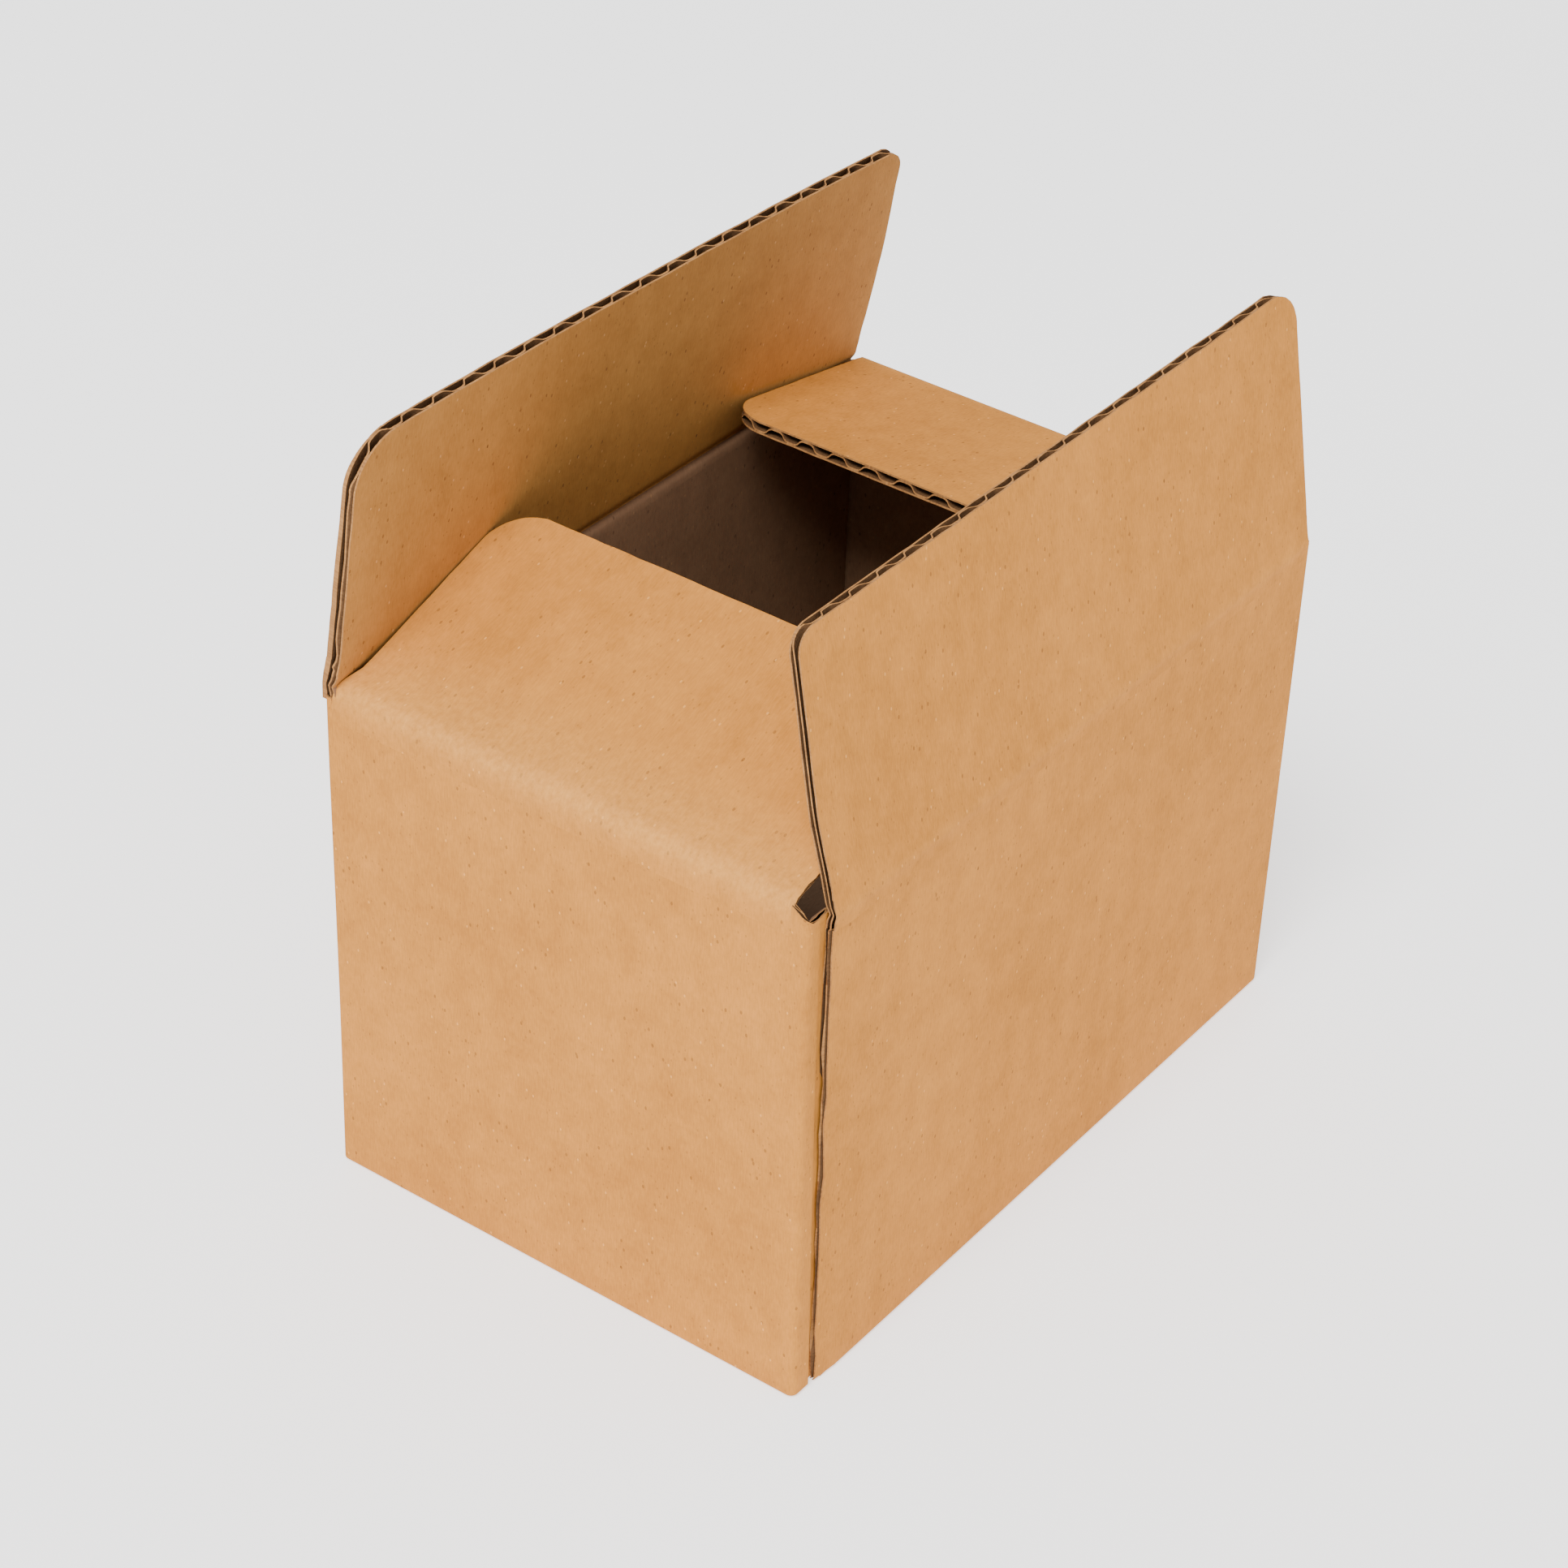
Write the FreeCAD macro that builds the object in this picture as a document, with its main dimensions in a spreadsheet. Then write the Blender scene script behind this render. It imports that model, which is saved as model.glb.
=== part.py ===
import FreeCAD, Part
import math
import os
import re

import Sketcher

Vector = FreeCAD.Vector
Rotation = FreeCAD.Rotation

# Driving dimensions in millimetres and degrees.
# X runs along the long sides, Y across the box, Z up from the floor.
# Front and rear are the short ends at -X and +X, left and right the long sides at +Y and -Y.
SIZES = {
    "board_thickness": 2.4,
    "liner_thickness": 0.35,
    "medium_thickness": 0.35,
    "flute_pitch": 7.9,
    "flute_crest": 2.0,
    "box_length": 157.6,
    "box_width": 106.4,
    "end_height": 105.4,
    "left_rise": 2.0,
    "right_drop": 1.2,
    "upright_radius": 1.6,
    "base_radius": 1.0,
    "joint_set_back": 4.6,
    "joint_lap": 28.0,
    "joint_lap_lift": 3.0,
    "raw_edge_depth": 3.0,
    "corner_notch": 2.2,
    "base_seam": 0.6,
    "inner_base_flap": 52.0,
    "side_flap_length": 52.9,
    "front_flap_length": 47.2,
    "rear_flap_length": 50.0,
    "left_lean": 9.0,
    "right_lean": 10.0,
    "front_fold": 68.0,
    "rear_fold": 78.0,
    "hinge_gap": 0.2,
    "left_flap_slot": 0.4,
    "left_flap_rear_slot": 2.2,
    "right_flap_slot": 2.8,
    "right_flap_rear_slot": 1.0,
    "end_flap_left_slot": 3.1,
    "end_flap_right_slot": 4.6,
    "end_flap_taper": 2.4,
    "flap_corner_radius": 9.0,
    "joint_corner_radius": 4.0,
}

# The blank is glued a little out of square, so the long sides fold higher and lower than the ends
FITTED = {
    "left_height": "=end_height + left_rise",
    "right_height": "=end_height - right_drop",
}

doc = FreeCAD.newDocument("bottle_box")


def make_sheet():
    """Put every dimension in one sheet, each under its own name."""
    sheet = doc.addObject("Spreadsheet::Sheet", "Sizes")
    for row, (alias, value) in enumerate({**SIZES, **FITTED}.items(), start=1):
        cell = "B" + str(row)
        sheet.set("A" + str(row), alias)
        sheet.set(cell, str(value))
        sheet.setAlias(cell, alias)
    doc.recompute()
    return sheet


sheet = make_sheet()


def size(alias):
    """The value of one dimension, read from the sheet."""
    return float(sheet.get(alias))


def bound(expression):
    """The expression with each dimension's name pointing to the sheet."""
    names = {**SIZES, **FITTED}
    return re.sub("[a-z_]+", lambda word: "Sizes." + word[0] if word[0] in names else word[0], expression)


def bind(thing, **properties):
    """Bind properties of a feature to expressions on the sheet."""
    for name, expression in properties.items():
        thing.setExpression(name, bound(expression))


def new_body(label):
    body = doc.addObject("PartDesign::Body", label)
    body.Label = label
    return body


def origin_plane(body, role):
    return [plane for plane in body.Origin.OriginFeatures if plane.Role == role][0]


def block(body, name, low, high, kind="Additive"):
    """A box feature between two corners, each given as three expressions on the sheet."""
    feature = body.newObject("PartDesign::" + kind + "Box", name)
    for side, axis, start, end in zip(("Length", "Width", "Height"), ("x", "y", "z"), low, high):
        feature.setExpression("Placement.Base." + axis, bound(start))
        feature.setExpression(side, bound("( " + end + " ) - ( " + start + " )"))
    doc.recompute()
    return feature


def edges_where(shape, test):
    """Names of the edges whose two end points both pass a test."""
    names = []
    for number, edge in enumerate(shape.Edges, start=1):
        points = [vertex.Point for vertex in edge.Vertexes]
        if len(points) == 2 and all(test(point) for point in points):
            names.append("Edge" + str(number))
    return names


def round_edges(body, name, test, radius):
    """A fillet on the edges of the body that pass a test."""
    base = body.Tip
    fillet = body.newObject("PartDesign::Fillet", name)
    fillet.Base = (base, edges_where(base.Shape, test))
    bind(fillet, Radius=radius)
    doc.recompute()


def near(value, target):
    return abs(value - target) < 0.001


def outline_sketch(body, name, role, loops):
    """A sketch of closed outlines whose corners are held by pairs of expressions on the sheet."""
    sketch = body.newObject("Sketcher::SketchObject", name)
    sketch.AttachmentSupport = [(origin_plane(body, role), "")]
    sketch.MapMode = "FlatFace"
    for corners in loops:
        first = sketch.GeometryCount
        count = len(corners)
        turn = 2 * math.pi / count
        spots = [Vector(10 * math.cos(turn * i + 0.3), 10 * math.sin(turn * i + 0.3), 0) for i in range(count)]
        for i in range(count):
            sketch.addGeometry(Part.LineSegment(spots[i], spots[(i + 1) % count]), False)
        for i in range(count):
            sketch.addConstraint(
                Sketcher.Constraint("Coincident", first + i, 2, first + (i + 1) % count, 1))
        for i, (across, up) in enumerate(corners):
            for kind, value, expression in (
                    ("DistanceX", spots[i].x, across), ("DistanceY", spots[i].y, up)):
                number = sketch.addConstraint(
                    Sketcher.Constraint(kind, -1, 1, first + i, 1, value))
                sketch.setExpression("Constraints[" + str(number) + "]", bound(expression))
    doc.recompute()
    return sketch


# The carton: four walls, the glue tab and the closed base, all one folded board


def make_carton():
    body = new_body("carton")
    front = "- box_length / 2"
    rear = "box_length / 2"
    right = "- box_width / 2"
    left = "box_width / 2"
    inside_front = front + " + board_thickness"
    inside_rear = rear + " - board_thickness"
    inside_right = right + " + board_thickness"
    inside_left = left + " - board_thickness"
    raw_edge = front + " + joint_set_back"

    # Walls, in the order in which the board goes round the box
    block(body, "front_wall", (front, inside_right, "0"), (inside_front, left, "end_height"))
    block(body, "left_wall", (front, inside_left, "0"), (rear, left, "left_height"))
    block(body, "rear_wall", (inside_rear, inside_right, "0"), (rear, left, "end_height"))
    block(body, "right_wall", (raw_edge, right, "0"), (rear, inside_right, "right_height"))

    # The glue tab turns in from the front wall and lies behind the right wall
    block(body, "tab_fold", (front, inside_right, "0"),
          (raw_edge, inside_right + " + board_thickness", "right_height"))
    block(body, "glue_tab", (front, inside_right, "joint_lap_lift"),
          (raw_edge + " + joint_lap", inside_right + " + board_thickness", "right_height"))

    # Outer base flaps meet along a seam, inner ones lie on them at the two ends
    seam = "base_seam / 2"
    block(body, "left_base_flap", (front, seam, "0"), (rear, left, "board_thickness"))
    block(body, "right_base_flap", (raw_edge, right, "0"), (rear, "- " + seam, "board_thickness"))
    block(body, "right_base_corner", (front, inside_right, "0"), (rear, "- " + seam, "board_thickness"))
    for name, start, end in (
            ("front_base_flap", front, front + " + inner_base_flap"),
            ("rear_base_flap", rear + " - inner_base_flap", rear)):
        block(body, name, (start, inside_right, "board_thickness"),
              (end, inside_left, "2 * board_thickness"))

    # The raw edge of the right wall shows the open flutes on both sides of the medium
    channel = "( board_thickness - 2 * liner_thickness - medium_thickness ) / 2"
    for name, start in (
            ("outer_channel", right + " + liner_thickness"),
            ("inner_channel", inside_right + " - liner_thickness - " + channel)):
        block(body, name, (raw_edge, start, "board_thickness"),
              (raw_edge + " + raw_edge_depth", start + " + " + channel, "right_height"), "Subtractive")

    # The slot between the rear and right flaps runs down to the lower of their folds
    block(body, "rear_slot", (inside_rear, inside_right, "right_height"),
          (rear, right + " + end_flap_right_slot", "end_height"), "Subtractive")

    # A corner is cut off the front wall where the slot ends beside the tab
    notch = body.newObject("PartDesign::Pocket", "slot_notch")
    notch.Profile = outline_sketch(body, "slot_notch_outline", "YZ_Plane", [[
        (inside_right, "right_height"), (inside_right + " + corner_notch", "end_height"),
        (inside_right, "end_height")]])
    bind(notch, Length="box_length / 2")
    doc.recompute()

    half_length = size("box_length") / 2
    half_width = size("box_width") / 2
    fold = size("board_thickness") - half_width
    # Upright folds are rounded on the outside
    corners = ((-half_length, half_width), (half_length, half_width), (half_length, -half_width),
               (-half_length, fold))
    round_edges(body, "upright_folds", lambda p: any(
        near(p.x, x) and near(p.y, y) for x, y in corners), "upright_radius")

    # The folds round the base are tighter
    round_edges(body, "base_folds", lambda p: near(p.z, 0) and (
        near(abs(p.x), half_length) or near(abs(p.y), half_width)), "base_radius")
    return body


# The top flaps: fluted board, cut to a rounded outline, each in the frame of its own hinge.
# Along X runs the hinge, along Y the flap from hinge to tip, and Z points into the box when it stands up.


def cut_flutes(body, span, bottom, top):
    """Cut the open channels of the fluted board through a flap, from hinge to tip."""
    half_crest = "flute_crest / 2"
    half_foot = "( flute_pitch - flute_crest ) / 2 - medium_thickness"
    lower = bottom + " + liner_thickness"
    upper = top + " - liner_thickness"
    start = "- flute_pitch * " + str(math.ceil(span / size("flute_pitch") / 2))
    shifted = start + " + flute_pitch / 2"
    up_channel = [
        (start + " - " + half_foot, lower), (start + " + " + half_foot, lower),
        (start + " + " + half_crest, upper + " - medium_thickness"),
        (start + " - " + half_crest, upper + " - medium_thickness")]
    down_channel = [
        (shifted + " + " + half_foot, upper), (shifted + " - " + half_foot, upper),
        (shifted + " - " + half_crest, lower + " + medium_thickness"),
        (shifted + " + " + half_crest, lower + " + medium_thickness")]
    solid = body.Tip.Shape.Volume
    sketch = outline_sketch(body, body.Label + "_channel_section", "XZ_Plane", [up_channel, down_channel])
    pocket = body.newObject("PartDesign::Pocket", body.Label + "_channels")
    pocket.Profile = sketch
    pocket.Type = "ThroughAll"
    doc.recompute()
    pattern = body.newObject("PartDesign::LinearPattern", body.Label + "_flutes")
    pattern.Originals = [pocket]
    pattern.Direction = (sketch, ["H_Axis"])
    steps = 2 * math.ceil(span / size("flute_pitch") / 2)
    bind(pattern, Length="flute_pitch * " + str(steps))
    pattern.Occurrences = steps + 1
    body.Tip = pattern
    doc.recompute()
    assert pattern.Shape.Volume < 0.7 * solid, body.Label + " has too few open flutes"


def make_flap(label, span, slots, length, taper, corners, folds_in):
    """A flap on its hinge line, before its flutes are cut.

    slots are the insets from the box's faces at its low and high end along the hinge, and corners
    the names of the two tip radii in the same order. A flap that folds in turns about its inner
    face, any other about its outer face, so that face lies on the hinge line.
    """
    body = new_body(label)
    low = "- " + span + " / 2 + " + slots[0]
    high = span + " / 2 - " + slots[1]
    outline = outline_sketch(body, label + "_outline", "XY_Plane", [[
        (low, "0"), (high, "0"), (high + " - " + taper, length), (low + " + " + taper, length)]])
    pad = body.newObject("PartDesign::Pad", label + "_board")
    pad.Profile = outline
    pad.Reversed = folds_in
    bind(pad, Length="board_thickness")
    doc.recompute()
    tip = size(length)
    for name, side, radius in zip(("_low_corner", "_high_corner"), (-1, 1), corners):
        round_edges(body, label + name, lambda p: near(p.y, tip) and p.x * side > 0, radius)
    return body


def make_side_flap(label, slots, lean, corners):
    """A long flap that stands up and leans in: its foot is mitred to stay level with the wall."""
    body = make_flap(label, "box_length", slots, "side_flap_length", "0", corners, False)
    mitre = body.newObject("PartDesign::Pocket", label + "_mitre")
    mitre.Profile = outline_sketch(body, label + "_mitre_outline", "YZ_Plane", [[
        ("0", "0"), ("board_thickness * tan(" + lean + " * 1 deg)", "board_thickness"),
        ("0", "board_thickness")]])
    mitre.Type = "ThroughAll"
    mitre.Midplane = True
    doc.recompute()
    cut_flutes(body, size("box_length"), "0", "board_thickness")
    return body


def make_end_flap(label, slots, length, fold):
    """A short flap folded in over the opening, with the rounded outside of its fold."""
    corners = ("flap_corner_radius", "flap_corner_radius")
    body = make_flap(label, "box_width", slots, length, "end_flap_taper", corners, True)
    cut_flutes(body, size("box_width"), "- board_thickness", "0")
    rim = body.newObject("PartDesign::AdditiveCylinder", label + "_fold")
    rim.Placement = FreeCAD.Placement(Vector(0, 0, 0), Rotation(Vector(1, 0, -1), 180))
    rim.setExpression("Placement.Base.x", bound("box_width / 2 - " + slots[1]))
    bind(rim, Radius="board_thickness", Angle=fold,
         Height="box_width - " + slots[0] + " - " + slots[1])
    doc.recompute()
    return body


def place(body, x, y, height, yaw, fold):
    """Stand a flap just above its wall on the hinge line, turned to the wall and folded in."""
    spot = Vector(x, y, size(height) + size("hinge_gap"))
    body.Placement = FreeCAD.Placement(spot, Rotation(yaw, 0, 90 + size(fold)))


carton = make_carton()

side_hinge = size("box_width") / 2
end_hinge = size("box_length") / 2 - size("board_thickness")

flap_left = make_side_flap(
    "flap_left", ("left_flap_slot", "left_flap_rear_slot"), "left_lean",
    ("flap_corner_radius", "flap_corner_radius"))
place(flap_left, 0, side_hinge, "left_height", 0, "left_lean")

flap_right = make_side_flap(
    "flap_right", ("right_flap_rear_slot", "right_flap_slot"), "right_lean",
    ("flap_corner_radius", "joint_corner_radius"))
place(flap_right, 0, -side_hinge, "right_height", 180, "right_lean")

flap_front = make_end_flap(
    "flap_front", ("end_flap_right_slot", "end_flap_left_slot"), "front_flap_length", "front_fold")
place(flap_front, -end_hinge, 0, "end_height", 90, "front_fold")

flap_rear = make_end_flap(
    "flap_rear", ("end_flap_left_slot", "end_flap_right_slot"), "rear_flap_length", "rear_fold")
place(flap_rear, end_hinge, 0, "end_height", -90, "rear_fold")

doc.recompute()

sub_parts = [carton, flap_left, flap_right, flap_front, flap_rear]

for thing in doc.Objects:
    failed = [word for word in ("Invalid", "Error") if word in thing.State]
    assert not failed, thing.Name + " failed: " + ", ".join(failed)

os.makedirs("parts", exist_ok=True)
for sub_part in sub_parts:
    shape = sub_part.Shape
    assert not shape.isNull() and shape.isValid(), sub_part.Label + " has no valid shape"
    assert len(shape.Solids) == 1, sub_part.Label + " is not one solid"
    shape.exportStep("parts/" + sub_part.Label + ".step")
    box = shape.BoundBox
    print(sub_part.Label, "volume", round(shape.Volume, 1), "faces", len(shape.Faces),
          "box", [round(value, 2) for value in (box.XMin, box.XMax, box.YMin, box.YMax, box.ZMin, box.ZMax)])
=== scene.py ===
import math

import bmesh
import bpy
from mathutils import Matrix, Vector, noise


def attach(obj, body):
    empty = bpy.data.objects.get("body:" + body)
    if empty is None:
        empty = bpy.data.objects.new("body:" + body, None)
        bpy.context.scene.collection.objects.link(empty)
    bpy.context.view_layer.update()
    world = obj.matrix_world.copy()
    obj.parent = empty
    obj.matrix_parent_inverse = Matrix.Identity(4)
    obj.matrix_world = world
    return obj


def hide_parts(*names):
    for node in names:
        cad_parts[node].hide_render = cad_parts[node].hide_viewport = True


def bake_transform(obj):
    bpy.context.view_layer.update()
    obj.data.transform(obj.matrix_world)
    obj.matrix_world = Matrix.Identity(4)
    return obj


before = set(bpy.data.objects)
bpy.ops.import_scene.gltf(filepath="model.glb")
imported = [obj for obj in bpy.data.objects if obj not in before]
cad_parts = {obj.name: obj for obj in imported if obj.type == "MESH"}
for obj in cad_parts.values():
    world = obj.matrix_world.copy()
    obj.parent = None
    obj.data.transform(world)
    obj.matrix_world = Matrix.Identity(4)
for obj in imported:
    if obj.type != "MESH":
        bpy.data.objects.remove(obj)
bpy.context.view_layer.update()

# Sizes in millimetres, as in the part's source; the skin of paper lies 0.2 outside its faces
BOARD = 2.4
LINER = 0.35
MEDIUM = 0.35
PITCH = 7.9
HALF_LENGTH = 79.0
HALF_WIDTH = 53.4
INSIDE_LENGTH = HALF_LENGTH - BOARD
INSIDE_WIDTH = HALF_WIDTH - BOARD
UV_SPAN = 100.0

# Slots of a board's finishes
OUTER_FACE, INNER_FACE, MEDIUM_FACE, CUT_FACE, SHADED_INSIDE = range(5)

X, Y, Z = Vector((1, 0, 0)), Vector((0, 1, 0)), Vector((0, 0, 1))


# Board: every panel starts flat, x across its flutes, y along them, z from its outer face inwards


def everything(bm):
    return bm.verts[:] + bm.edges[:] + bm.faces[:]


def trim(bm, point, away):
    """Cut a flat sheet along a line and drop what lies on the side that away points to."""
    bmesh.ops.bisect_plane(
        bm, geom=everything(bm), dist=1e-4, plane_co=Vector((*point, 0)),
        plane_no=Vector((*away, 0)), clear_outer=True)


def score(bm, point, across):
    """Put a line of vertices across a flat sheet."""
    bmesh.ops.bisect_plane(
        bm, geom=everything(bm), dist=1e-4, plane_co=Vector((*point, 0)),
        plane_no=Vector((*across, 0)))


def flat_sheet(low, high, columns, rows):
    """A flat grid from its low to its high corner."""
    bm = bmesh.new()
    bmesh.ops.create_grid(bm, x_segments=columns, y_segments=rows, size=0.5)
    size = Vector((high[0] - low[0], high[1] - low[1], 1))
    middle = Vector(((high[0] + low[0]) / 2, (high[1] + low[1]) / 2, 0))
    bmesh.ops.scale(bm, vec=size, verts=bm.verts)
    bmesh.ops.translate(bm, vec=middle, verts=bm.verts)
    return bm


def flute_wave(x):
    """Height of the medium, from -1 to 1, with its flanks steeper than a plain wave's."""
    return math.tanh(2.4 * math.sin(2 * math.pi * x / PITCH)) / math.tanh(2.4)


def ease(value, low, high):
    """0 below low, 1 above high, and a soft step between."""
    share = min(max((value - low) / (high - low), 0.0), 1.0)
    return share * share * (3 - 2 * share)


def cut_rag(x, y, seed):
    """How far the knife left fibres standing at a place on a cut edge."""
    coarse = noise.noise(Vector((x / 5, y / 5, seed)))
    fine = noise.noise(Vector((x / 1.3, y / 1.3, seed + 9)))
    return coarse + 0.5 * fine


def rag_edges(bm, seed, rag):
    """Clean the cuts of a flat sheet and let its cut edges wander within its plane by rag(place)."""
    bmesh.ops.dissolve_degenerate(bm, dist=0.01, edges=bm.edges)
    moves = []
    for vert in bm.verts:
        rims = [edge for edge in vert.link_edges if edge.is_boundary]
        if len(rims) == 2:
            ends = [edge.other_vert(vert).co for edge in rims]
            along = ends[1] - ends[0]
            outward = Vector((along.y, -along.x, 0)).normalized()
            moves.append((vert, outward * rag(vert.co) * cut_rag(vert.co.x, vert.co.y, seed)))
    for vert, move in moves:
        vert.co += move


def thicken(bm, thickness, low_slot, high_slot):
    """Give a sheet its thickness towards +z, a finish for either face, and cut rims."""
    raised = bmesh.ops.extrude_face_region(bm, geom=bm.faces[:], use_keep_orig=True)
    top = [item for item in raised["geom"] if isinstance(item, bmesh.types.BMVert)]
    bmesh.ops.translate(bm, vec=(0, 0, thickness), verts=top)
    bmesh.ops.recalc_face_normals(bm, faces=bm.faces)
    for face in bm.faces:
        rim = abs(face.normal.z) < 0.3
        face.material_index = CUT_FACE if rim else low_slot if face.normal.z < 0 else high_slot
        face.smooth = not rim
    for edge in bm.edges:
        if len(edge.link_faces) == 2:
            edge.smooth = edge.link_faces[0].smooth and edge.link_faces[1].smooth


def even_rag(place):
    """How far a plain cut strays, the same everywhere."""
    return 0.12


def flap_rag(place):
    """A flap's cut strays beyond its crease only, so that its foot meets the wall."""
    return 0.15 * ease(place.y, 0, 3)


def make_board(low, high, cut, cell, flute_cells, flute_rows, phase=0.0, rag=even_rag, seed=1.0):
    """A flat board of two liners and a fluted medium. cut(sheet) gives each layer its outline."""
    board = bmesh.new()
    for layer in ("outer", "medium", "inner"):
        if layer == "medium":
            columns = round((high[0] - low[0]) / PITCH * flute_cells)
            rows = flute_rows
        else:
            columns = round((high[0] - low[0]) / cell)
            rows = round((high[1] - low[1]) / cell)
        sheet = flat_sheet(low, high, max(columns, 1), max(rows, 1))
        cut(sheet)
        seed += 3.7
        rag_edges(sheet, seed, rag)
        if layer == "outer":
            thicken(sheet, LINER, OUTER_FACE, MEDIUM_FACE)
        elif layer == "inner":
            bmesh.ops.translate(sheet, vec=(0, 0, BOARD - LINER), verts=sheet.verts)
            thicken(sheet, LINER, MEDIUM_FACE, INNER_FACE)
        else:
            swing = BOARD / 2 - LINER - MEDIUM / 2
            for vert in sheet.verts:
                vert.co.z = BOARD / 2 - MEDIUM / 2 + swing * flute_wave(vert.co.x - phase)
            thicken(sheet, MEDIUM, MEDIUM_FACE, MEDIUM_FACE)
        join(board, sheet)
    lay_uv(board)
    return board


def join(target, bm):
    """Add one mesh to another and free it."""
    mesh = bpy.data.meshes.new("layer")
    bm.to_mesh(mesh)
    bm.free()
    target.from_mesh(mesh)
    bpy.data.meshes.remove(mesh)


def lay_uv(bm):
    """Lay the board's pattern along its flat blank, before it is folded."""
    layer = bm.loops.layers.uv.new("blank")
    for face in bm.faces:
        for loop in face.loops:
            loop[layer].uv = (loop.vert.co.x / UV_SPAN, loop.vert.co.y / UV_SPAN)


def shift_uv(bm, across, along):
    """Take a panel's pattern from another part of the sheet."""
    layer = bm.loops.layers.uv["blank"]
    for face in bm.faces:
        for loop in face.loops:
            loop[layer].uv.x += across
            loop[layer].uv.y += along


def finish_piece(bm, name, finishes):
    """Make a millimetre mesh a piece in metres with its finishes."""
    bmesh.ops.recalc_face_normals(bm, faces=bm.faces)
    bmesh.ops.scale(bm, vec=Vector((0.001, 0.001, 0.001)), verts=bm.verts)
    mesh = bpy.data.meshes.new(name)
    bm.to_mesh(mesh)
    bm.free()
    piece = bpy.data.objects.new(name, mesh)
    bpy.context.scene.collection.objects.link(piece)
    for finish in finishes:
        mesh.materials.append(finish)
    return piece


# Corners of the end wall


RAW_EDGE = -73.3
RAW_EDGE_SKEW = 0.012


def raw_edge_at(height):
    """Where the cut end of the right wall lies: it runs askew, nearer the corner at the top."""
    return RAW_EDGE - (height - 50) * RAW_EDGE_SKEW


def spread_corners(co):
    """Set the end wall's corners out: the glued one towards its foot, the other towards its top."""
    if co.y < 0:
        raw_edge = raw_edge_at(co.z)
        spread = 0.3 + 1.7 * (1 - ease(co.z, -40, 110))
        strip = 1 - 0.55 * ease(co.x, raw_edge - 1.7, raw_edge - 0.9)
        co.y -= spread * strip * ease(-co.y, 0, INSIDE_WIDTH)
    else:
        near_end = 1 - ease(co.x, -78, -60)
        co.y += 0.6 * ease(co.z, 30, 107) * ease(co.y, 20, INSIDE_WIDTH) * near_end
    return co


# Top flaps

CREASE_ROWS = (-6, -4.5, -3.2, -2.2, -1.4, -0.7, 0, 0.7, 1.4, 2.2, 3.2, 4.5, 6)
SIDE_REACH = 40


class Fold:
    """A panel that leaves its wall along a crease.

    corner is where the outer planes of wall and panel meet, along the crease's direction, outward
    and up those of the wall, angle how far the panel folds in, in degrees at a place along the
    crease, and radius the outside of the bend.
    """

    def __init__(self, corner, along, outward, up, angle, radius, ridge=0.0, groove=0.0, width=1.2):
        self.corner, self.along, self.outward, self.up = corner, along, outward, up
        self.angle, self.radius = angle, radius
        self.ridge, self.groove, self.width = ridge, groove, width

    def half_arc(self, across):
        return self.radius * math.radians(self.angle(across)) / 2

    def tangent(self, across):
        return self.radius * math.tan(math.radians(self.angle(across)) / 2)

    def place(self, co):
        """Where a point of the flat board goes: co.y is 0 at the middle of the bend."""
        across, along_sheet, depth = co
        crush = math.exp(-(along_sheet / self.width) ** 2)
        depth -= crush * (self.ridge + (self.groove - self.ridge) * depth / BOARD)
        half, tangent = self.half_arc(across), self.tangent(across)
        turn = min(max(along_sheet + half, 0.0), 2 * half) / max(self.radius, 1e-6)
        before = min(along_sheet + half, 0.0)
        after = max(along_sheet - half, 0.0)
        centre = self.corner + self.along * across - self.outward * self.radius - self.up * tangent
        radial = self.outward * math.cos(turn) + self.up * math.sin(turn)
        forward = self.up * math.cos(turn) - self.outward * math.sin(turn)
        return centre + radial * (self.radius - depth) + forward * after + self.up * before


def rounded_outline(low, high, foot, tip, taper, radii):
    """A function that trims a layer to a flap's outline, with rounded tip corners."""
    def cut(bm):
        for row in CREASE_ROWS:
            score(bm, (0, row), (0, 1))
        lean = Vector((taper, tip - foot)).normalized()
        for side, start, radius in ((-1, low, radii[0]), (1, high, radii[1])):
            away = Vector((side * lean.y, lean.x))
            trim(bm, (start, foot), away)
            corner = Vector((start - side * taper, tip))
            middle = corner - Vector((side * radius * (1 + lean.x), radius))
            for step in range(1, 12):
                angle = math.radians(7.5 * step)
                spoke = Vector((side * math.cos(angle), math.sin(angle)))
                trim(bm, middle + spoke * radius, spoke)
    return cut


def near_side(distance, width):
    """1 at a cut side, fading over a width."""
    return math.exp(-(max(distance, 0.0) / width) ** 2)


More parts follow.
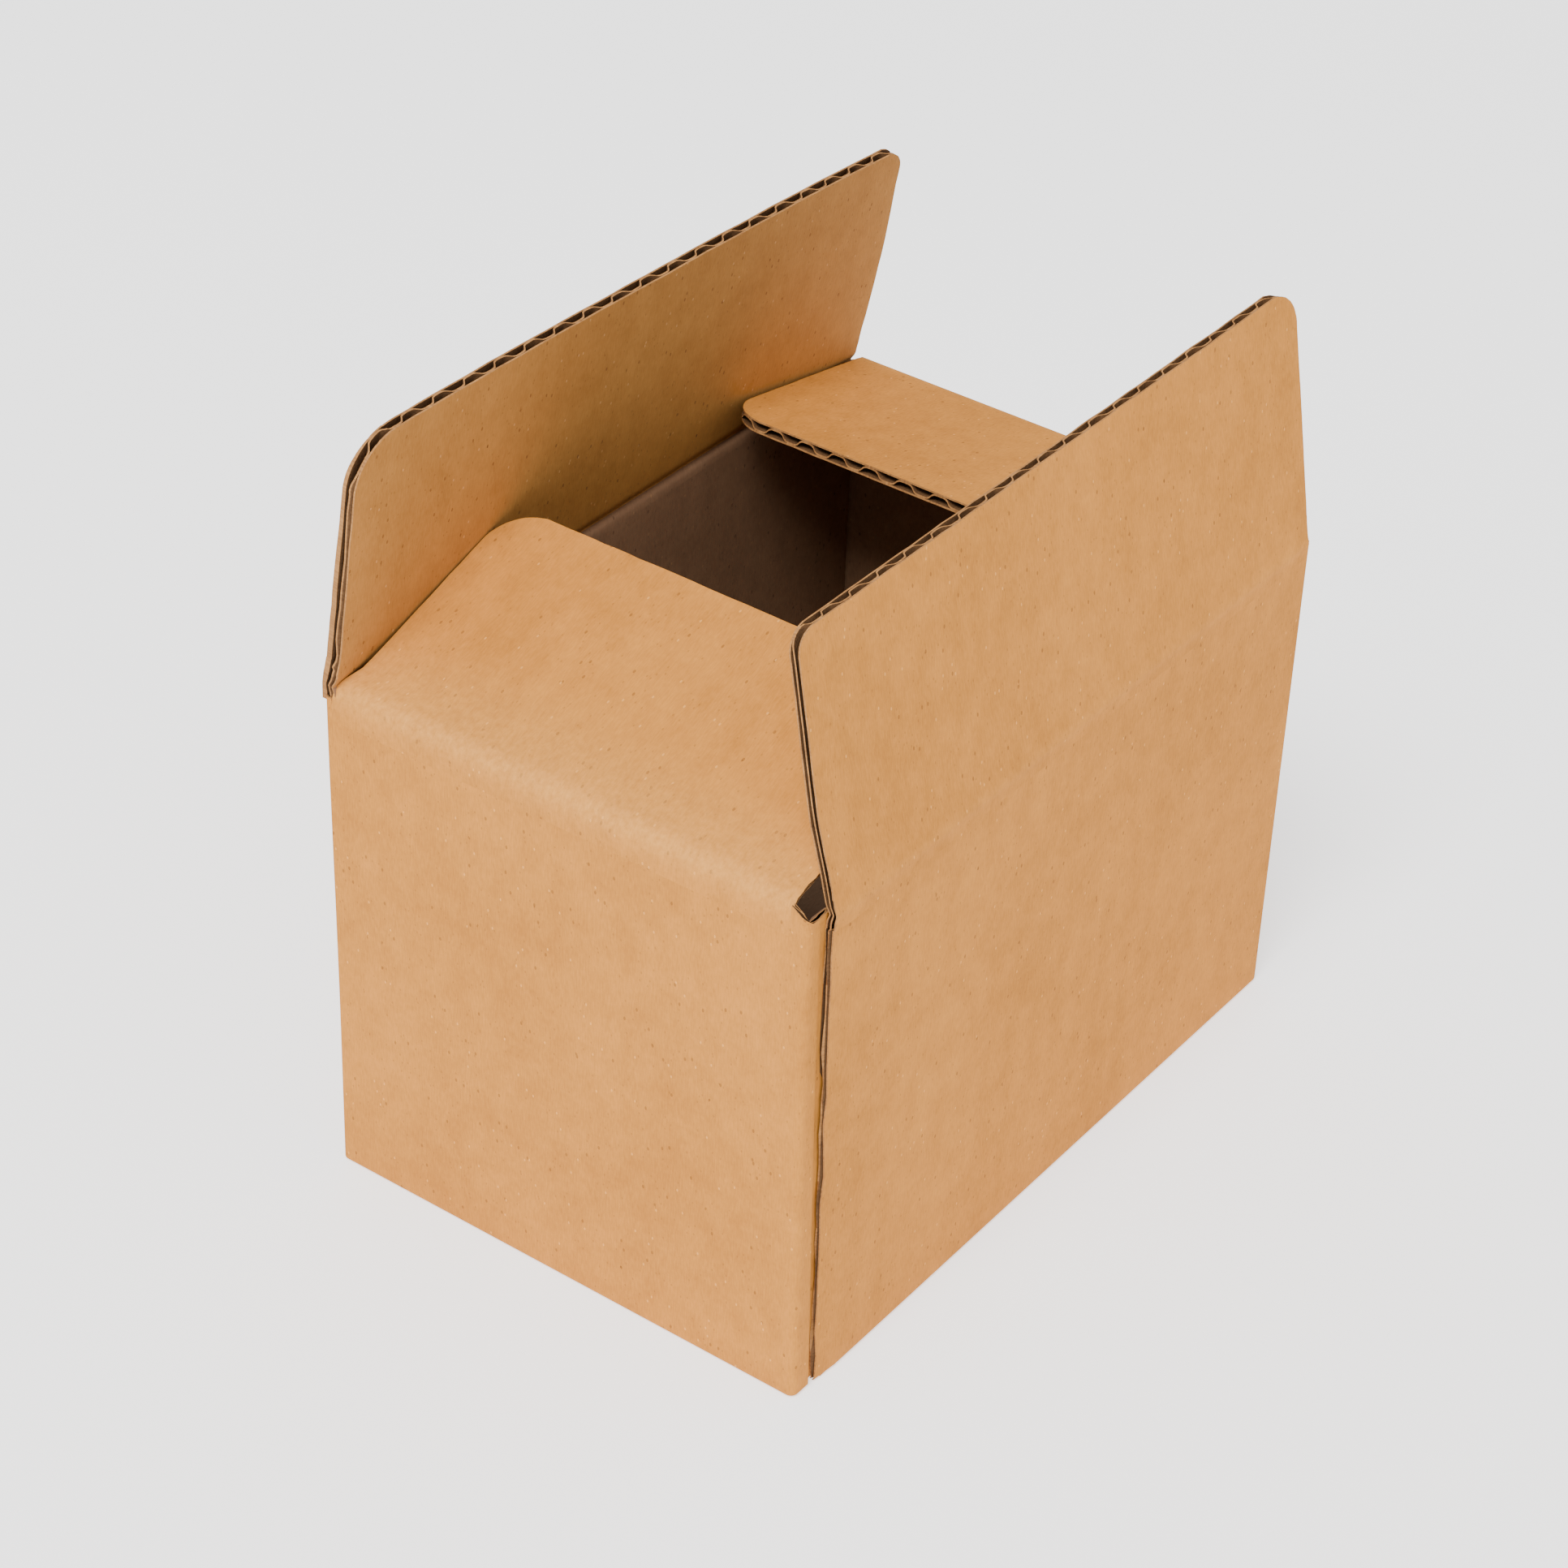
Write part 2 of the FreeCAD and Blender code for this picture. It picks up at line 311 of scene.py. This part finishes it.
class Shape:
    """How a real flap strays from its drawn outline, from measures of its cut edges.

    low_side and high_side give how far each side is drawn in at a distance from the crease, droop
    how much shorter the flap is at its two ends, flare how thickly the outer liner is puffed along
    the low side, crush what share of its thickness the board has lost there, and pinch how thin it
    is pressed at the foot of that side. crest is how strong the painted highlight along the crease
    is, and glow how strong the painted highlight on the flap beside it.
    """

    def __init__(self, low_side=None, high_side=None, droop=0.0, flare=0.0, crush=0.0, pinch=0.0,
                 crest=0.3, crest_width=1.2, glow=0.0):
        self.low_side, self.high_side = low_side, high_side
        self.droop, self.flare, self.crush, self.pinch = droop, flare, crush, pinch
        self.crest, self.crest_width, self.glow = crest, crest_width, glow

    def crease_highlight(self, along_sheet):
        """Painted highlight on the outer liner at a distance from the crease: a pale line along it and
        a broad paler band beside it.
        """
        line = math.exp(-((along_sheet - 0.3) / self.crest_width) ** 2)
        return self.crest * line + self.glow * math.exp(-((along_sheet - 5.0) / 8.0) ** 2)

    def apply(self, co, low, high, tip):
        """Move a point of the flat flap: co.x runs along the crease and co.y away from it."""
        beyond = max(co.y, 0.0)
        from_low = co.x - low
        if self.crush:
            pressed = self.crush * (1 - 0.3 * ease(co.y, 0, 12))
            co.z += (BOARD - co.z) * pressed * near_side(from_low, 3.0)
        if self.pinch:
            co.z *= 1 - self.pinch * near_side(from_low, 1.5) * (1 - ease(co.y, 6, 14))
        if self.low_side and from_low < SIDE_REACH:
            co.x += self.low_side(co.y) * (1 - ease(from_low, 0, SIDE_REACH))
        if self.high_side and high - co.x < SIDE_REACH:
            co.x -= self.high_side(co.y) * (1 - ease(high - co.x, 0, SIDE_REACH))
        middle = (low + high) / 2
        out = abs(co.x - middle) / (high - middle)
        co.y -= self.droop * out ** 3 * (beyond / tip) ** 2
        if self.flare:
            spring = self.flare * near_side(from_low, 3.5)
            co.z -= spring * max(1 - co.z / LINER, 0.0) * (1 - 0.5 * ease(beyond, 10, tip))


def top_flap(name, fold, sides, foot, length, radii, phase, shape, seed):
    """A top flap with its crease and the last of its wall, which follows the end wall's corners."""
    low, high = sides
    tip = length - fold.tangent(0) + fold.half_arc(0)
    cut = rounded_outline(low, high, foot, tip, 0.0, radii)
    bm = make_board((low - 1, foot), (high + 1, tip), cut, 3.0, 16, 16, phase, flap_rag, seed)
    shift_uv(bm, 0.37 * seed, 0.61 * seed)
    # Painted highlight: each vertex holds how far the liner is paled along and beside the crease, read
    # by the kraft finishes.
    crease_highlight = bm.verts.layers.float.new("crease_highlight")
    # Painted shade: the flap's inner face below its crease takes the darker inside finish, as the
    # walls' inner faces do.
    for face in bm.faces:
        if face.material_index == INNER_FACE and face.calc_center_median().y < -0.3:
            face.material_index = SHADED_INSIDE
    for vert in bm.verts:
        vert[crease_highlight] = shape.crease_highlight(vert.co.y)
        shape.apply(vert.co, low, high, tip)
        still = ease(vert.co.y, 0, 8)
        vert.co = fold.place(vert.co)
        if vert.co.x < -40:
            vert.co = spread_corners(vert.co.copy()).lerp(vert.co, still)
    return finish_piece(bm, name, FLAP_FINISHES)


# Finishes


class Value:
    """A number that varies over a surface. Each operator adds one Math node."""

    def __init__(self, finish, socket):
        self.finish, self.socket = finish, socket

    def math(self, operation, *others):
        node = self.finish.tree.nodes.new("ShaderNodeMath")
        node.operation = operation
        for socket, value in zip(node.inputs, (self, *others)):
            self.finish.feed(socket, value)
        return Value(self.finish, node.outputs[0])

    def __add__(self, other):
        return self.math("ADD", other)

    __radd__ = __add__

    def __mul__(self, other):
        return self.math("MULTIPLY", other)

    __rmul__ = __mul__

    def __sub__(self, other):
        return self.math("SUBTRACT", other)

    def __rsub__(self, other):
        return (self * -1.0).math("ADD", other)

    def __gt__(self, other):
        return self.math("GREATER_THAN", other)

    def __lt__(self, other):
        return self.math("LESS_THAN", other)

    def clamp(self):
        return self.math("MINIMUM", 1.0).math("MAXIMUM", 0.0)


class Finish:
    """A material while it is made."""

    def __init__(self, name):
        self.material = bpy.data.materials.new(name)
        self.material.use_nodes = True
        self.tree = self.material.node_tree
        self.shader = self.tree.nodes["Principled BSDF"]

    def feed(self, socket, value):
        if isinstance(value, Value):
            self.tree.links.new(value.socket, socket)
        else:
            socket.default_value = value

    def node(self, kind, settings=(), sockets=(), out=0):
        """Any node: its type, its settings, the values or links of its sockets, and its output."""
        node = self.tree.nodes.new(kind)
        for name, value in dict(settings).items():
            setattr(node, name, value)
        for name, value in dict(sockets).items():
            self.feed(node.inputs[name], value)
        return Value(self, node.outputs[out])

    def blank(self, scale, turn=0.0, shift=0.0):
        """The flat blank's own coordinates, scaled and turned."""
        place = self.node("ShaderNodeUVMap", {"uv_map": "blank"})
        return self.node("ShaderNodeMapping", {}, {
            "Vector": place, "Location": (shift, shift * 0.7, 0),
            "Rotation": (0, 0, math.radians(turn)), "Scale": (*scale, 1)})

    def noise(self, scale, detail, roughness, turn=0.0, shift=0.0):
        return self.node("ShaderNodeTexNoise", {"noise_dimensions": "2D"}, {
            "Vector": self.blank(scale, turn, shift), "Scale": 1.0, "Detail": detail,
            "Roughness": roughness})

    def specks(self, cell, size, share, shift):
        """Small flecks: 1 in the middle of the few cells that hold one, 0 elsewhere."""
        cells = self.tree.nodes.new("ShaderNodeTexVoronoi")
        cells.voronoi_dimensions = "2D"
        self.feed(cells.inputs["Vector"], self.blank((cell, cell * 0.62), 24.0, shift))
        cells.inputs["Scale"].default_value = 1.0
        near = Value(self, cells.outputs["Distance"]) < size
        colour = Value(self, cells.outputs["Color"])
        pick = self.node("ShaderNodeSeparateColor", {}, {"Color": colour}) < share
        return near * pick

    def mix(self, amount, first, second):
        node = self.tree.nodes.new("ShaderNodeMix")
        node.data_type = "RGBA"
        self.feed(node.inputs[0], amount)
        self.feed(node.inputs[6], first)
        self.feed(node.inputs[7], second)
        return Value(self, node.outputs[2])

    def surface(self, colour, roughness, height, depth):
        """Connect what varies to the shader: height is raised by depth in metres."""
        self.feed(self.shader.inputs["Base Color"], colour)
        self.feed(self.shader.inputs["Roughness"], roughness)
        self.shader.inputs["Specular IOR Level"].default_value = 0.1
        bump = self.node("ShaderNodeBump", {}, {"Height": height, "Strength": 1.0, "Distance": depth})
        self.feed(self.shader.inputs["Normal"], bump)
        return self.material


def kraft(name, pale, deep, fleck, pith_and_highlight, stripe, contrast):
    """Kraft liner: cloudy pulp, short fibres, flecks, the flutes showing through, and a painted
    highlight along creases.
    """
    finish = Finish(name)
    cloud = finish.noise((3.1, 2.3), 2.0, 0.5)
    blotch = finish.noise((19, 15), 4.0, 0.6, shift=4.0)
    grain = finish.noise((95, 80), 3.0, 0.6, shift=2.0)
    fibre_one = finish.noise((330, 48), 2.0, 0.5, 20.0, 7.0)
    fibre_two = finish.noise((300, 52), 2.0, 0.5, -38.0, 3.0)
    fibre_three = finish.noise((310, 50), 2.0, 0.5, 84.0, 5.0)
    fibres = (fibre_one + fibre_two + fibre_three) * (1 / 3)
    flute = finish.node("ShaderNodeSeparateXYZ", {}, {"Vector": finish.blank((UV_SPAN / PITCH, 1))})
    wave = (flute * (2 * math.pi)).math("SINE")
    tone = (0.5 + (cloud - 0.5) * 0.7 + (blotch - 0.5) * 0.9 + (grain - 0.5) * 0.5
            + (fibres - 0.5) * 1.3 + wave * stripe)
    tone = ((tone - 0.5) * contrast + 0.5).clamp()
    colour = finish.mix(tone, deep, pale)
    dark = finish.specks(140, 0.22, 0.05, 1.0) * 0.6 + finish.specks(62, 0.15, 0.05, 6.0)
    light = finish.specks(85, 0.16, 0.03, 9.0)
    colour = finish.mix((dark * 0.5).clamp(), colour, fleck)
    colour = finish.mix(light * 0.6, colour, pith_and_highlight)
    crease_highlight = finish.node("ShaderNodeAttribute", {"attribute_name": "crease_highlight"}, {}, 2)
    # Painted highlight: the liner turns towards its pale pith colour along and beside the creases, by
    # the vertex attribute set in top_flap.
    colour = finish.mix((crease_highlight * (0.75 + (grain - 0.5) * 1.5)).clamp(), colour, pith_and_highlight)
    height = (fibres - 0.5) * 0.7 + (blotch - 0.5) * 0.5 + grain * 0.3 + wave * 0.12
    rough = 0.82 + (grain - 0.5) * 0.12
    return finish.surface(colour, rough, height, 0.00006)


def cut_board(name, pale, deep):
    """Torn-fibre grain between two tones: for the cut edges, and for the painted shade inside the
    flutes.
    """
    finish = Finish(name)
    grain = finish.noise((240, 210), 3.0, 0.6)
    broad = finish.noise((30, 26), 2.0, 0.5, shift=3.0)
    colour = finish.mix(((grain - 0.5) * 1.6 + (broad - 0.5) * 0.8 + 0.5).clamp(), deep, pale)
    return finish.surface(colour, 0.9 + (grain - 0.5) * 0.05, grain, 0.00008)


# The pith colour paints the real pale flecks and also the painted highlight along the creases.
outer_kraft = kraft(
    "outer_kraft", pale=(0.62, 0.254, 0.045, 1), deep=(0.45, 0.175, 0.028, 1),
    fleck=(0.15, 0.055, 0.016, 1), pith_and_highlight=(0.82, 0.395, 0.105, 1), stripe=0.025, contrast=1.15)
inner_kraft = kraft(
    "inner_kraft", pale=(0.52, 0.248, 0.064, 1), deep=(0.39, 0.176, 0.042, 1),
    fleck=(0.12, 0.050, 0.018, 1), pith_and_highlight=(0.70, 0.38, 0.14, 1), stripe=0.02, contrast=1.15)
# Painted shade: a darker copy of the kraft for the inside of the box, for the shade that falls there;
# the walls' inner faces, the flaps' faces below their creases and the base's top take it.
shaded_inside_kraft = kraft(
    "shaded_inside_kraft", pale=(0.30, 0.168, 0.092, 1), deep=(0.21, 0.114, 0.062, 1),
    fleck=(0.08, 0.038, 0.020, 1), pith_and_highlight=(0.38, 0.21, 0.10, 1), stripe=0.02, contrast=1.0)
# Painted shade: the short base flaps inside the box get kraft darker still, for the deep shade at the
# bottom of the box.
shaded_base_kraft = kraft(
    "shaded_base_kraft", pale=(0.13, 0.078, 0.046, 1), deep=(0.09, 0.052, 0.030, 1),
    fleck=(0.05, 0.026, 0.015, 1), pith_and_highlight=(0.18, 0.11, 0.06, 1), stripe=0.02, contrast=1.0)
# Painted shade: the medium and the liners' faces inside the flutes are far darker than the liners'
# paper, for the shade inside the flute channels.
shaded_medium_kraft = cut_board("shaded_medium_kraft", (0.17, 0.085, 0.036, 1), (0.09, 0.043, 0.019, 1))
cut_edge = cut_board("cut_edge", (0.46, 0.225, 0.078, 1), (0.25, 0.112, 0.040, 1))
FLAP_FINISHES = (outer_kraft, inner_kraft, shaded_medium_kraft, cut_edge, shaded_inside_kraft)
BOX_FINISHES = (outer_kraft, shaded_inside_kraft, shaded_medium_kraft, cut_edge)
BASE_FINISHES = (shaded_base_kraft, shaded_base_kraft, shaded_medium_kraft, cut_edge)


# Creases: where the outer planes of wall and flap meet, found from the hinge lines of the part

LEFT_CREASE, RIGHT_CREASE, END_CREASE = 107.6, 104.4, 105.6
FRONT_ANGLE, REAR_ANGLE = 68.0, 78.0
LEFT_SIDES, RIGHT_SIDES = (-78.6, 76.7), (-76.2, 77.6)
FRONT_SIDES, REAR_SIDES = (-47.5, 51.8), (-48.6, 50.1)
FOLD_FEET = {"front": -6.0, "rear": -5.0, "left": -3.2, "right": -3.2}


def steady(angle):
    """The same angle all along a crease."""
    return lambda across: angle


def end_gain(angle):
    """How much further an end flap reaches from its outer crease than from its inner one."""
    return BOARD * math.tan(math.radians(angle) / 2)


def end_corner(side, angle):
    """Where the outer planes of an end wall and its flap meet."""
    return Vector((side * HALF_LENGTH, 0, END_CREASE + end_gain(angle)))


left_fold = Fold(
    Vector((0, HALF_WIDTH, LEFT_CREASE)), X, Y, Z, lambda across: 9.3 + 0.026 * across, 4.0, 0.15, 0.7)
right_fold = Fold(Vector((0, -HALF_WIDTH, RIGHT_CREASE)), X, -Y, Z, steady(10.0), 4.0, 0.2, 0.6)
front_fold = Fold(end_corner(-1, FRONT_ANGLE), Y, -X, Z, steady(FRONT_ANGLE), 5.2, 0.0, 0.5)
rear_fold = Fold(end_corner(1, REAR_ANGLE), Y, X, Z, steady(REAR_ANGLE), 2.8, 0.0, 0.5)


def taper(beyond):
    """How far the sides of an end flap are drawn in at a distance from its crease."""
    return 0.045 * max(beyond, 0.0)


left_shape = Shape(
    high_side=lambda s: 0.8 - 0.4 * ease(s, 4, 20) + 1.4 * ease(s, 26, 50),
    droop=1.3, flare=0.8, crest=0.12)
right_shape = Shape(
    low_side=lambda s: 2.5 - 1.5 * ease(s, 2, 22), high_side=lambda s: -0.4,
    crush=0.18, crest=0.12)
front_shape = Shape(
    low_side=lambda s: taper(s) - 1.2 * ease(s, 0, 9),
    high_side=lambda s: taper(s) + 1.4 * ease(s, 0, 7),
    pinch=0.75, crest=0.3, crest_width=2.4, glow=0.26)
rear_shape = Shape(low_side=taper, high_side=taper, crest=0.2, crest_width=2.0)

flap_left = top_flap(
    "left_flap_board", left_fold, LEFT_SIDES, FOLD_FEET["left"], 52.7, (10, 5), -78.6, left_shape, 1.0)
flap_right = top_flap(
    "right_flap_board", right_fold, RIGHT_SIDES, FOLD_FEET["right"], 52.8, (4.5, 8), -76.2,
    right_shape, 2.0)
flap_front = top_flap(
    "front_flap_board", front_fold, FRONT_SIDES, FOLD_FEET["front"], 47.2 + end_gain(FRONT_ANGLE),
    (9, 9), 0.0, front_shape, 3.0)
flap_rear = top_flap(
    "rear_flap_board", rear_fold, REAR_SIDES, FOLD_FEET["rear"], 49.4 + end_gain(REAR_ANGLE),
    (9, 9), 0.0, rear_shape, 4.0)


def bend_with(piece, body):
    """Hide the flap's own part and bake the piece's transform; the piece is attached to no body."""
    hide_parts(body)
    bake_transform(piece)


bend_with(flap_left, "flap_left")
bend_with(flap_right, "flap_right")
bend_with(flap_front, "flap_front")
bend_with(flap_rear, "flap_rear")


# Walls: the blank from the glue tab's free edge round the box to the raw edge of the right wall

TAB_END = -46.7
FOOT_RADIUS = 0.7
FOOT_ROWS = (0.08, 0.2, 0.4, 0.7)
GLUED_CORNER, CORNER = 1.6, 0.9
TURNS = (
    (Vector((TAB_END, -INSIDE_WIDTH)), 0.0),
    (Vector((-HALF_LENGTH, -INSIDE_WIDTH)), GLUED_CORNER),
    (Vector((-HALF_LENGTH, HALF_WIDTH)), CORNER),
    (Vector((HALF_LENGTH, HALF_WIDTH)), CORNER),
    (Vector((HALF_LENGTH, -HALF_WIDTH)), CORNER),
    (Vector((RAW_EDGE, -HALF_WIDTH)), 0.0))


def wall_runs():
    """The straight runs and the bends of the walls: where each starts along the blank."""
    runs, travelled = [], 0.0
    for (start, start_radius), (end, end_radius) in zip(TURNS, TURNS[1:]):
        heading = (end - start).normalized()
        length = (end - start).length - start_radius - end_radius
        runs.append((travelled, length, start + heading * start_radius, heading, 0.0))
        travelled += length
        if end_radius:
            length = end_radius * math.pi / 2
            runs.append((travelled, length, end - heading * end_radius, heading, end_radius))
            travelled += length
    return runs, travelled


RUNS, BLANK_LENGTH = wall_runs()


def on_blank(wall, place):
    """How far along the blank a place on a wall lies; the glue tab is wall 0."""
    begin, length, start, heading, radius = [run for run in RUNS if not run[4]][wall]
    return begin + (Vector(place) - start).dot(heading)


def wrap(co):
    """Fold the flat walls round the box, turned in along their foot."""
    depth = co.z
    if co.y < FOOT_RADIUS:
        rise = min((FOOT_RADIUS - co.y) / FOOT_RADIUS, 1.0)
        depth += (1 - math.sqrt(1 - rise * rise)) * FOOT_RADIUS * (1 - co.z / BOARD)
    for begin, length, start, heading, radius in reversed(RUNS):
        if co.x >= begin or begin == 0.0:
            break
    inward = Vector((heading.y, -heading.x))
    gone = co.x - begin
    if radius:
        turn = gone / radius
        spoke = heading * math.sin(turn) - inward * math.cos(turn)
        spot = start + inward * radius + spoke * (radius - depth)
    else:
        spot = start + heading * gone + inward * depth
    return Vector((spot.x, spot.y, co.y))


FRONT_FOOT = front_fold.place(Vector((0, FOLD_FEET["front"], 0))).z
REAR_FOOT = rear_fold.place(Vector((0, FOLD_FEET["rear"], 0))).z
LEFT_FOOT = left_fold.place(Vector((0, FOLD_FEET["left"], 0))).z
RIGHT_FOOT = right_fold.place(Vector((0, FOLD_FEET["right"], 0))).z

TAB_STRIP = on_blank(0, (-71.5, -INSIDE_WIDTH))
NOTCH_START = on_blank(0, (-HALF_LENGTH + GLUED_CORNER, -INSIDE_WIDTH))
NOTCH_END = on_blank(1, (-HALF_LENGTH, FRONT_SIDES[0]))
FRONT_END = on_blank(1, (-HALF_LENGTH, FRONT_SIDES[1]))
LEFT_START, LEFT_END = on_blank(2, (-78.4, HALF_WIDTH)), on_blank(2, (76.3, HALF_WIDTH))
REAR_START = on_blank(3, (HALF_LENGTH, REAR_SIDES[1]))
REAR_END = on_blank(3, (HALF_LENGTH, REAR_SIDES[0]))
RIGHT_START = on_blank(4, (77.9, -HALF_WIDTH))
NOTCH_TOP, NOTCH_LOW, NOTCH_FOOT = 107.2, 104.2, 102.0
WALL_TOPS = (
    (0.0, TAB_STRIP, 101.5),
    (TAB_STRIP, NOTCH_START, NOTCH_TOP),
    (NOTCH_START, NOTCH_END, NOTCH_TOP),
    (NOTCH_END, FRONT_END, FRONT_FOOT),
    (FRONT_END, LEFT_START, 105.3),
    (LEFT_START, LEFT_END, LEFT_FOOT),
    (LEFT_END, REAR_START, 105.6),
    (REAR_START, REAR_END, REAR_FOOT),
    (REAR_END, RIGHT_START, 104.6),
    (RIGHT_START, BLANK_LENGTH, RIGHT_FOOT))


def cut_walls(bm):
    """Trim a flat layer to the walls' outline: the tops under the flaps and the ends of the slots."""
    for start, end, top in WALL_TOPS[1:]:
        score(bm, (start, 0), (1, 0))
    for top in sorted({round(stretch[2], 3) for stretch in WALL_TOPS}):
        score(bm, (0, top), (0, 1))
    for height in FOOT_ROWS:
        score(bm, (0, height), (0, 1))
    for step in range(14):
        score(bm, (on_blank(0, (-77.2 + 0.4 * step, -INSIDE_WIDTH)), 0), (1, 0))
    for begin, length, start, heading, radius in RUNS:
        if radius:
            for step in range(9):
                score(bm, (begin + length * step / 8, 0), (1, 0))
    lost = []
    for face in bm.faces:
        middle = face.calc_center_median()
        for start, end, top in WALL_TOPS:
            if start <= middle.x < end and middle.y > top:
                lost.append(face)
    bmesh.ops.delete(bm, geom=lost, context="FACES")


def press_raw_edge(co):
    """The raw edge of the right wall: ragged, cut askew, and pressed flat by the glue joint."""
    left = BLANK_LENGTH - co.x
    if left < 20:
        near_edge = math.exp(-(left / 3.0) ** 2)
        layer = round(co.z / 0.9)
        steps = round(2.2 * noise.noise(Vector((co.y / 9, layer, 4.1)))) * 0.3
        rag = 0.35 * noise.noise(Vector((co.y / 2.5, layer, 7.7)))
        co.x += near_edge * (steps + rag + RAW_EDGE - raw_edge_at(co.y))
        co.z += (BOARD - co.z) * 0.24 * near_edge
    return co


def slant_notch(co):
    """The slot's end between the end wall's crease and the lower right wall slants down."""
    if TAB_STRIP - 0.01 <= co.x <= NOTCH_END + 0.01 and co.y > NOTCH_FOOT:
        share = max((co.x - NOTCH_START) / (NOTCH_END - NOTCH_START), 0.0)
        top = NOTCH_LOW + 3.0 * share
        co.y = NOTCH_FOOT + (co.y - NOTCH_FOOT) * (top - NOTCH_FOOT) / (NOTCH_TOP - NOTCH_FOOT)
        co.z *= 1 - 0.6 * ease(co.y, 102.5, top)
    return co


def walls_rag(place):
    """Only the raw edge strays: every other cut meets a flap or its neighbour."""
    return 0.1 * ease(place.x, BLANK_LENGTH - 2, BLANK_LENGTH - 1)


walls = make_board(
    (0, 0), (BLANK_LENGTH, 107.6), cut_walls, 6.0, 8, 30, BLANK_LENGTH, walls_rag, 6.0)
shift_uv(walls, 2.7, 3.3)
for vert in walls.verts:
    before_left_wall = vert.co.x < on_blank(2, (-40, HALF_WIDTH))
    spot = wrap(slant_notch(press_raw_edge(vert.co)))
    vert.co = spread_corners(spot) if before_left_wall else spot
walls = finish_piece(walls, "walls", BOX_FINISHES)
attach(walls, "carton")
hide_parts("carton")


# Base: two outer flaps that meet along a seam, and two short flaps lying on them


def base_board(x_range, y_range):
    """A stretch of an outer base flap, up to the turned-in foot of the walls."""
    bm = bmesh.new()
    bmesh.ops.create_cube(bm, size=1.0)
    (x_low, x_high), (y_low, y_high) = x_range, y_range
    middle = Vector(((x_low + x_high) / 2, (y_low + y_high) / 2, BOARD / 2))
    bmesh.ops.scale(bm, vec=Vector((x_high - x_low, y_high - y_low, BOARD)), verts=bm.verts)
    bmesh.ops.translate(bm, vec=middle, verts=bm.verts)
    return bm


FAR_X, FAR_Y, SEAM = HALF_LENGTH - 0.55, HALF_WIDTH - 0.55, 0.3
BEHIND_RAW_EDGE = -71.0
base = base_board((-FAR_X, FAR_X), (SEAM, FAR_Y))
join(base, base_board((BEHIND_RAW_EDGE, FAR_X), (-FAR_Y, -SEAM)))
join(base, base_board((-FAR_X, BEHIND_RAW_EDGE), (-INSIDE_WIDTH, -SEAM)))
lay_uv(base)
shift_uv(base, 5.3, 2.1)
for face in base.faces:
    face.material_index = INNER_FACE if face.calc_center_median().z > BOARD - 0.01 else OUTER_FACE
base = finish_piece(base, "base_flaps_outer", BOX_FINISHES)
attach(base, "carton")


def inner_base_flap(name, side, seed):
    """A short base flap lying inside on the outer ones, from its end wall inwards."""
    flat = Fold(Vector((side * INSIDE_LENGTH, 0, BOARD)), Y, -Z, -side * X, steady(0.0), 0.0)
    cut = rounded_outline(-50.4, 50.4, 0.0, 49.6, 0.8, (3, 3))
    bm = make_board((-51, 0), (51, 49.6), cut, 6.0, 8, 3, seed=seed)
    shift_uv(bm, 0.37 * seed, 0.61 * seed)
    for vert in bm.verts:
        vert.co = flat.place(vert.co)
    piece = finish_piece(bm, name, BASE_FINISHES)
    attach(piece, "carton")


inner_base_flap("base_flap_front", -1, 7.0)
inner_base_flap("base_flap_rear", 1, 8.0)


# Studio: pale floor, soft light and the photograph's viewpoint


def make_floor():
    """A wide pale floor under the box."""
    bm = bmesh.new()
    bmesh.ops.create_grid(bm, x_segments=1, y_segments=1, size=6.0)
    bmesh.ops.translate(bm, vec=(0, 0, -0.0002), verts=bm.verts)
    mesh = bpy.data.meshes.new("floor")
    bm.to_mesh(mesh)
    bm.free()
    floor = bpy.data.objects.new("floor", mesh)
    bpy.context.scene.collection.objects.link(floor)
    pale = Finish("pale_floor")
    pale.shader.inputs["Base Color"].default_value = (0.85, 0.85, 0.85, 1)
    pale.shader.inputs["Roughness"].default_value = 0.95
    pale.shader.inputs["Emission Color"].default_value = (1, 1, 1, 1)
    pale.shader.inputs["Emission Strength"].default_value = 1.1
    mesh.materials.append(pale.material)


def area_light(name, place, aim, size, power):
    """A square soft lamp at a place, turned to its aim."""
    light = bpy.data.lights.new(name, "AREA")
    light.shape = "SQUARE"
    light.size = size
    light.energy = power
    lamp = bpy.data.objects.new(name, light)
    lamp.location = place
    lamp.rotation_euler = (Vector(aim) - Vector(place)).to_track_quat("-Z", "Y").to_euler()
    bpy.context.scene.collection.objects.link(lamp)


def make_camera():
    """The photograph's viewpoint: turned, raised, rolled and set back from the base's centre."""
    azimuth, elevation, roll = (math.radians(angle) for angle in (-54.8545, 34.9014, 2.3699))
    back = Vector((math.sin(azimuth) * math.cos(elevation), -math.cos(azimuth) * math.cos(elevation),
                   math.sin(elevation)))
    level = Vector((math.cos(azimuth), math.sin(azimuth), 0))
    upright = back.cross(level)
    right = level * math.cos(roll) + upright * math.sin(roll)
    up = upright * math.cos(roll) - level * math.sin(roll)
    spot = (right * -6.172 + up * 55.337 + back * 805.31) * 0.001
    camera_data = bpy.data.cameras.new("camera")
    camera_data.sensor_width = 36.0
    camera_data.lens = 5042.14 / 1932 * 36.0
    camera = bpy.data.objects.new("camera", camera_data)
    turned = Matrix((right, up, back)).transposed()
    camera.matrix_world = Matrix.Translation(spot) @ turned.to_4x4()
    bpy.context.scene.collection.objects.link(camera)
    bpy.context.scene.camera = camera


make_floor()
world = bpy.data.worlds.new("studio")
world.use_nodes = True
world.node_tree.nodes["Background"].inputs["Color"].default_value = (1, 1, 1, 1)
world.node_tree.nodes["Background"].inputs["Strength"].default_value = 0.92
bpy.context.scene.world = world
area_light("key", (-1.25, -0.3, 2.1), (0, 0, 0.05), 0.9, 72)
make_camera()
